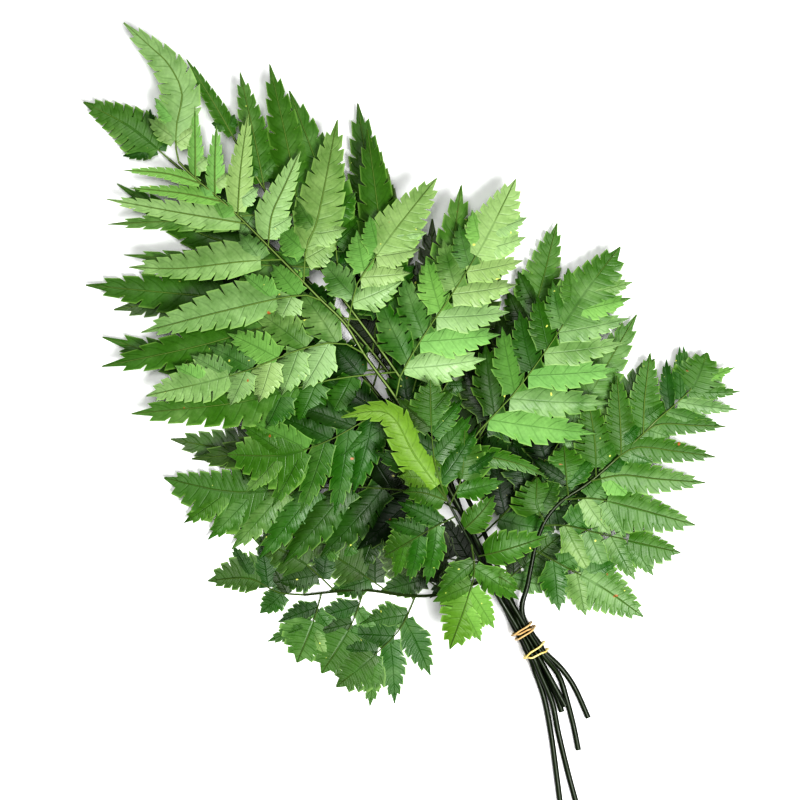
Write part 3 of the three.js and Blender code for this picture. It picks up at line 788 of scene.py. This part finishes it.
def build_frond(frond, index, materials):
    numbers, draw = stream(101 + 37 * index), random.Random(11 + index)
    stem = stem_places(frond)
    branches = [branch_places(branch, frond, stem) for branch in frond["branches"]]
    bm = new_mesh()
    ribs = [grow_pinna(bm, record, frond, [stem, *branches], numbers, draw) for record in frond["pinnae"]]
    thicken(bm)
    for points, radii in ribs:
        grow_tube(bm, points, radii, FINE_SIDES, STALK, RIB_YOUTH)
    for branch in branches:
        way = Way(branch)
        shares = [i / BRANCH_RINGS for i in range(BRANCH_RINGS + 1)]
        points = [way.at(share) for share in shares]
        radii = [lerp(1.1, 0.7, share) * MM for share in shares]
        grow_tube(bm, points, radii, FINE_SIDES, STALK, BRANCH_YOUTH)
    grow_stem(bm, frond, stem)
    sharpen(bm)
    return finish_piece(bm, frond["name"] + "_leaf", frond["name"], materials)


# %% [markdown]
# ## Finishes
# A material is a small net of nodes. This helper adds a node, sets its inputs and joins it in one line,
# so that each finish reads as a recipe.

# %% A recipe book for materials


class Finish:
    def __init__(self, name):
        self.material = bpy.data.materials.new(name)
        self.material.use_nodes = True
        self.tree = self.material.node_tree
        self.shader = self.tree.nodes["Principled BSDF"]

    def add(self, kind, inputs, output=0, **settings):
        """Adds a node. inputs maps a socket's name or number to a value or to another node's output."""
        node = self.tree.nodes.new("ShaderNode" + kind)
        for key, value in settings.items():
            setattr(node, key, value)
        for key, value in inputs.items():
            self.put(node.inputs[key], value)
        return node.outputs[output]

    def put(self, socket, value):
        if isinstance(value, bpy.types.NodeSocket):
            self.tree.links.new(value, socket)
        else:
            socket.default_value = value

    def math(self, operation, a, b=0.0, clamp=False):
        return self.add("Math", {0: a, 1: b}, operation=operation, use_clamp=clamp)

    def mix(self, factor, a, b, blend="MIX"):
        return self.add("Mix", {0: factor, 6: a, 7: b}, 2, data_type="RGBA", blend_type=blend)

    def band(self, value, low, high, to_low=0.0, to_high=1.0):
        inputs = {0: value, 1: low, 2: high, 3: to_low, 4: to_high}
        return self.add("MapRange", inputs, interpolation_type="SMOOTHSTEP")

    def noise(self, scale, detail=3, rough=0.5):
        where = self.add("TexCoord", {}, 3)
        return self.add("TexNoise", {"Vector": where, "Scale": scale, "Detail": detail, "Roughness": rough})

    def surface(self, **values):
        for key, value in values.items():
            self.put(self.shader.inputs[key.replace("_", " ")], value)

    def bump(self, height, depth, strength=1.0):
        normal = self.add("Bump", {"Height": height, "Strength": strength, "Distance": depth})
        self.put(self.shader.inputs["Normal"], normal)


def tint(r, g, b):
    """A colour from the 0 to 255 numbers of a screen, in linear light."""
    return (*[((c / 255 + 0.055) / 1.055) ** 2.4 for c in (r, g, b)], 1)


# %% [markdown]
# ## The leaf
# A fern leaf is thick, smooth and a little waxy. Its colour runs from a deep green to a pale green and a
# yellow green in the youngest tips. Painted shade makes the rows that face away from the light and the
# fronds deep in the pile darker, and painted light makes the rows that face the light paler. The veins
# are sunk and darker, the rim is thin with a painted pale highlight, and here and there is a brown spot
# or a yellow dot. The pattern follows the leaflet's own coordinates, so each vein ends at its tooth.

# %% The leaf's two faces


def leaf_finish(name, back=False):
    paint = Finish(name)
    where = paint.add("Attribute", {}, 1, attribute_name="leaf_place")
    along = paint.add("SeparateXYZ", {0: where}, 0)
    w = paint.add("SeparateXYZ", {0: where}, 1)
    tones = paint.add("Attribute", {}, 0, attribute_name="leaf_tone")
    tone = paint.add("SeparateColor", {0: tones}, 0)
    youth = paint.add("SeparateColor", {0: tones}, 1)
    # The third number is painted light: how far the leaflet points to the light side
    painted_light = paint.add("SeparateColor", {0: tones}, 2)
    aside = paint.math("ABSOLUTE", w)
    # Side veins lean forward and end at the teeth
    lean = paint.math("MULTIPLY", paint.math("SUBTRACT", aside, 1.0), 0.9)
    count = paint.math("SUBTRACT", along, lean)
    saw = paint.math("ABSOLUTE", paint.math("SUBTRACT", paint.math("FRACT", count), 0.5))
    vein = paint.band(saw, 0.0, 0.09, 1.0, 0.0)
    fine = paint.math("FRACT", paint.math("MULTIPLY", count, 3.0))
    fine = paint.math("ABSOLUTE", paint.math("SUBTRACT", fine, 0.5))
    fine_vein = paint.band(fine, 0.0, 0.2, 1.0, 0.0)
    middle = paint.band(aside, 0.0, 0.07, 1.0, 0.0)
    # The rim mask, for a painted pale highlight along the blade's edge
    rim = paint.band(aside, 0.86, 1.0)
    veins = paint.math("MAXIMUM", paint.math("MULTIPLY", vein, 0.6), paint.math("MULTIPLY", fine_vein, 0.16))
    veins = paint.math("MULTIPLY", veins, paint.band(aside, 0.75, 0.98, 1.0, 0.0))
    veins = paint.math("MAXIMUM", veins, middle)
    # Base colour by tone, which carries painted shade deep in the pile, by painted light and shade from the
    # side that the leaflet points to, and by chance and age
    blotch = paint.noise(55, 4, 0.6)
    grain = paint.noise(420, 3, 0.6)
    value = paint.math("ADD", tone, paint.math("MULTIPLY", paint.math("SUBTRACT", painted_light, 0.5), 0.32))
    value = paint.math("ADD", value, paint.math("MULTIPLY", paint.math("SUBTRACT", blotch, 0.5), 0.5), True)
    deep, middling, pale = tint(1, 24, 0), tint(32, 84, 5), tint(138, 168, 116)
    if back:
        deep, middling, pale = tint(50, 90, 38), tint(84, 130, 62), tint(122, 166, 96)
    low = paint.mix(paint.band(value, 0.0, 0.5), deep, middling)
    colour = paint.mix(paint.band(value, 0.42, 0.92), low, pale)
    chance = paint.add("Attribute", {}, 3, attribute_name="leaf_tone")
    warm = paint.mix(1.0, colour, (1.35, 1.04, 0.55, 1), "MULTIPLY")
    colour = paint.mix(paint.band(chance, 0.2, 1.0, 0.0, 0.24), colour, warm)
    colour = paint.mix(youth, colour, tint(140, 180, 66))
    colour = paint.mix(paint.math("MULTIPLY", veins, 0.28), colour, tint(24, 62, 8))
    # Painted highlight: the rim is mixed towards a pale green
    colour = paint.mix(paint.math("MULTIPLY", rim, 0.3), colour, tint(158, 196, 104))
    shade = paint.band(grain, 0.2, 0.8, 0.9, 1.1)
    colour = paint.mix(1.0, colour, paint.add("CombineXYZ", {0: shade, 1: shade, 2: shade}), "MULTIPLY")
    # Rare spots, larger brown ones and small yellow ones
    spots = paint.band(paint.noise(150, 1, 0.4), 0.79, 0.82)
    colour = paint.mix(spots, colour, tint(150, 92, 44))
    dots = paint.band(paint.noise(330, 0, 0.5), 0.85, 0.89)
    colour = paint.mix(paint.math("MULTIPLY", dots, 0.8), colour, tint(206, 210, 110))
    relief = paint.math("SUBTRACT", paint.math("MULTIPLY", grain, 0.35), veins)
    paint.bump(relief, 0.25 * MM, 0.9)
    rough = paint.band(blotch, 0.3, 0.7, 0.6 if back else 0.36, 0.68 if back else 0.5)
    paint.surface(Base_Color=colour, Roughness=rough)
    paint.shader.inputs["Specular IOR Level"].default_value = 0.25 if back else 0.32
    return paint.material


leaf_top = leaf_finish("leaf top")
leaf_back = leaf_finish("leaf back", back=True)
print("leaf finishes:", leaf_top.name, leaf_back.name)

# %% [markdown]
# ## Stalks and cuts
# A rib is green-brown at its sides and has a pale line on top. Lower down the stem is nearly black and
# shines. Where it was cut, it shows a dry pale brown core.

# %% The stalk and its cut


def stalk_finish():
    paint = Finish("stalk")
    where = paint.add("Attribute", {}, 1, attribute_name="leaf_place")
    up = paint.add("SeparateXYZ", {0: where}, 1)
    tones = paint.add("Attribute", {}, 0, attribute_name="leaf_tone")
    fine = paint.add("SeparateColor", {0: tones}, 1)
    streak = paint.noise(90, 4, 0.7)
    line = paint.band(up, 0.72, 0.98)
    side = paint.mix(paint.band(streak, 0.3, 0.7), tint(3, 7, 1), tint(14, 26, 5))
    side = paint.mix(paint.math("MULTIPLY", fine, 2.6, True), side, tint(92, 118, 54))
    # The pale line shows in the leafy part, which begins above the tie
    northing = paint.add("SeparateXYZ", {0: paint.add("TexCoord", {}, 3)}, 1)
    leafy = paint.band(northing, -0.06, 0.03)
    light = paint.mix(leafy, tint(30, 44, 14), tint(126, 150, 80))
    colour = paint.mix(paint.math("MULTIPLY", line, 0.85), side, light)
    paint.surface(Base_Color=colour, Roughness=paint.band(streak, 0.3, 0.7, 0.3, 0.45))
    paint.shader.inputs["Specular IOR Level"].default_value = 0.3
    paint.bump(streak, 0.1 * MM, 0.6)
    return paint.material


def cut_finish():
    paint = Finish("cut stem")
    fibre = paint.noise(1400, 4, 0.7)
    colour = paint.mix(paint.band(fibre, 0.3, 0.7), tint(92, 62, 32), tint(156, 128, 78))
    paint.surface(Base_Color=colour, Roughness=0.85)
    paint.bump(fibre, 0.1 * MM, 1.0)
    return paint.material


leaf_materials = [leaf_top, leaf_back, stalk_finish(), cut_finish()]
print(len(leaf_materials), "finishes on a frond")

# %% Build the six fronds
for index, frond in enumerate(FRONDS):
    build_frond(frond, index, leaf_materials)

# %% [markdown]
# ## The bands
# Two thin elastic bands are wound round the stems, a tan one three times and a cream one twice. Each
# is one closed loop. It follows the outside of the stems, wanders forward under its own turns and back
# over them. The tube tool above makes an open tube, so here the ring is closed by bridging its ends.

# %% A band's loop
BAND_RADIUS = 0.6 * MM
BAND_PLAY = 0.3 * MM
BAND_STEPS = 40


def band_loop(ahead, spread, turns, wander):
    steps = turns * BAND_STEPS
    stack = 1.05 * BAND_RADIUS / math.sin(math.pi / max(turns, 2))
    loop = []
    for i in range(steps):
        once = 2 * math.pi * i / steps
        way = Vector((math.cos(turns * once), math.sin(turns * once)))
        outer = max((Vector((x * spread, y)) for x, y in PLACES.values()), key=lambda p: p.dot(way))
        clear = STEM_RADIUS + BAND_PLAY + BAND_RADIUS + stack * (1 + math.sin(once))
        centre = outer * STEM_PITCH + way * clear
        point = TIE + AHEAD * (ahead + wander * math.cos(once)) + ACROSS * centre.x
        point.z = BUNDLE_HEIGHT + centre.y
        loop.append(point)
    return loop


# %% A band's closed ring
BAND_SIDES = 8


def build_band(name, loop, material):
    bm = new_mesh()
    count = len(loop)
    middle = sum(loop, Vector()) / count
    frames = []
    for i in range(count):
        ahead = (loop[(i + 1) % count] - loop[i - 1]).normalized()
        out = loop[i] - middle
        out = (out - ahead * out.dot(ahead)).normalized()
        turned = Matrix((out, ahead.cross(out), ahead)).transposed().to_4x4()
        frames.append(Matrix.Translation(loop[i]) @ turned)
    ring = bmesh.ops.create_circle(bm, segments=BAND_SIDES, radius=BAND_RADIUS)["verts"]
    bmesh.ops.transform(bm, matrix=frames[0], verts=ring)
    first = edges = bm.edges[:]
    for i in range(1, count):
        made = bmesh.ops.extrude_edge_only(bm, edges=edges)["geom"]
        ring = [g for g in made if isinstance(g, bmesh.types.BMVert)]
        edges = [g for g in made if isinstance(g, bmesh.types.BMEdge) and all(v in ring for v in g.verts)]
        bmesh.ops.transform(bm, matrix=frames[i] @ frames[i - 1].inverted(), verts=ring)
    bmesh.ops.bridge_loops(bm, edges=first + edges)
    bmesh.ops.recalc_face_normals(bm, faces=bm.faces[:])
    for face in bm.faces:
        face.smooth = True
    return finish_piece(bm, name + "_wound", name, [material])


# %% Elastic rubber


def elastic_finish(name, light, dark):
    paint = Finish(name)
    patch = paint.noise(160, 4, 0.6)
    grain = paint.noise(1500, 2, 0.6)
    colour = paint.mix(paint.band(patch, 0.3, 0.72), light, dark)
    paint.surface(Base_Color=colour, Roughness=paint.band(patch, 0.3, 0.7, 0.42, 0.6))
    paint.bump(grain, 0.08 * MM, 0.7)
    return paint.material


tight = band_loop(0, 1, 3, 2.2 * MM)
loose = band_loop(-LOOSE_BACK, LOOSE_SPREAD, 2, 2.6 * MM)
tan = elastic_finish("tan elastic", tint(216, 188, 134), tint(178, 142, 88))
cream = elastic_finish("cream elastic", tint(236, 220, 150), tint(208, 184, 104))
build_band("band_tight", tight, tan)
build_band("band_loose", loose, cream)

# %% [markdown]
# ## Table, light and camera
# The table is plain and pale. One large soft light stands to the lower right of the picture, and a
# weaker one hangs overhead. The contrast is set high, as in a bright studio picture. The camera looks
# straight down and sees 480 mm, as the picture does.

# %% The table
floor_mesh = bmesh.new()
bmesh.ops.create_grid(floor_mesh, x_segments=1, y_segments=1, size=4)
floor_data = bpy.data.meshes.new("table top")
floor_mesh.to_mesh(floor_data)
floor_mesh.free()
floor = bpy.data.objects.new("table", floor_data)
bpy.context.scene.collection.objects.link(floor)
paper = Finish("paper")
paper.surface(Base_Color=(0.9, 0.9, 0.9, 1), Roughness=0.9)
floor_data.materials.append(paper.material)
floor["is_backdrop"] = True

# %% Light
scene = bpy.context.scene
scene.view_settings.view_transform = "Standard"
scene.view_settings.look = "High Contrast"
world = bpy.data.worlds.new("studio")
scene.world = world
world.use_nodes = True
world.node_tree.nodes["Background"].inputs["Color"].default_value = (1, 1, 1, 1)
world.node_tree.nodes["Background"].inputs["Strength"].default_value = 0.06


def soft_light(name, place, size, power):
    data = bpy.data.lights.new(name, "AREA")
    data.size = size
    data.energy = power
    light = bpy.data.objects.new(name, data)
    light.location = place
    light.rotation_euler = (Vector((0, 0, 0)) - Vector(place)).to_track_quat("-Z", "Y").to_euler()
    scene.collection.objects.link(light)


soft_light("window", (0.6, -0.55, 1.35), 0.6, 28)
soft_light("ceiling", (-0.1, 0.2, 1.8), 0.7, 16)

# %% Camera
camera_data = bpy.data.cameras.new("camera")
camera = bpy.data.objects.new("camera", camera_data)
scene.collection.objects.link(camera)
scene.camera = camera
CAMERA_HEIGHT = 1.43
LEAVES_HEIGHT = 0.03
PICTURE_WIDTH = 800 * PIXEL
camera.location = plan((400, 400)) + Vector((0, 0, CAMERA_HEIGHT))
camera_data.sensor_width = 36
camera_data.lens = camera_data.sensor_width * (CAMERA_HEIGHT - LEAVES_HEIGHT) / PICTURE_WIDTH
print("lens", round(camera_data.lens, 1), "mm")

# %% [markdown]
# ## Finish
# The finer pieces stand out of the plain model's box by a few millimetres at most, because the solids and
# the finer leaflets have to lie in the same place. The box of the finer pieces is printed.

# %% The box of the finer pieces
visual_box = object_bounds()
for low, high, name in zip(visual_box[0], visual_box[1], "xyz"):
    print(name, round(low, 4), round(high, 4))
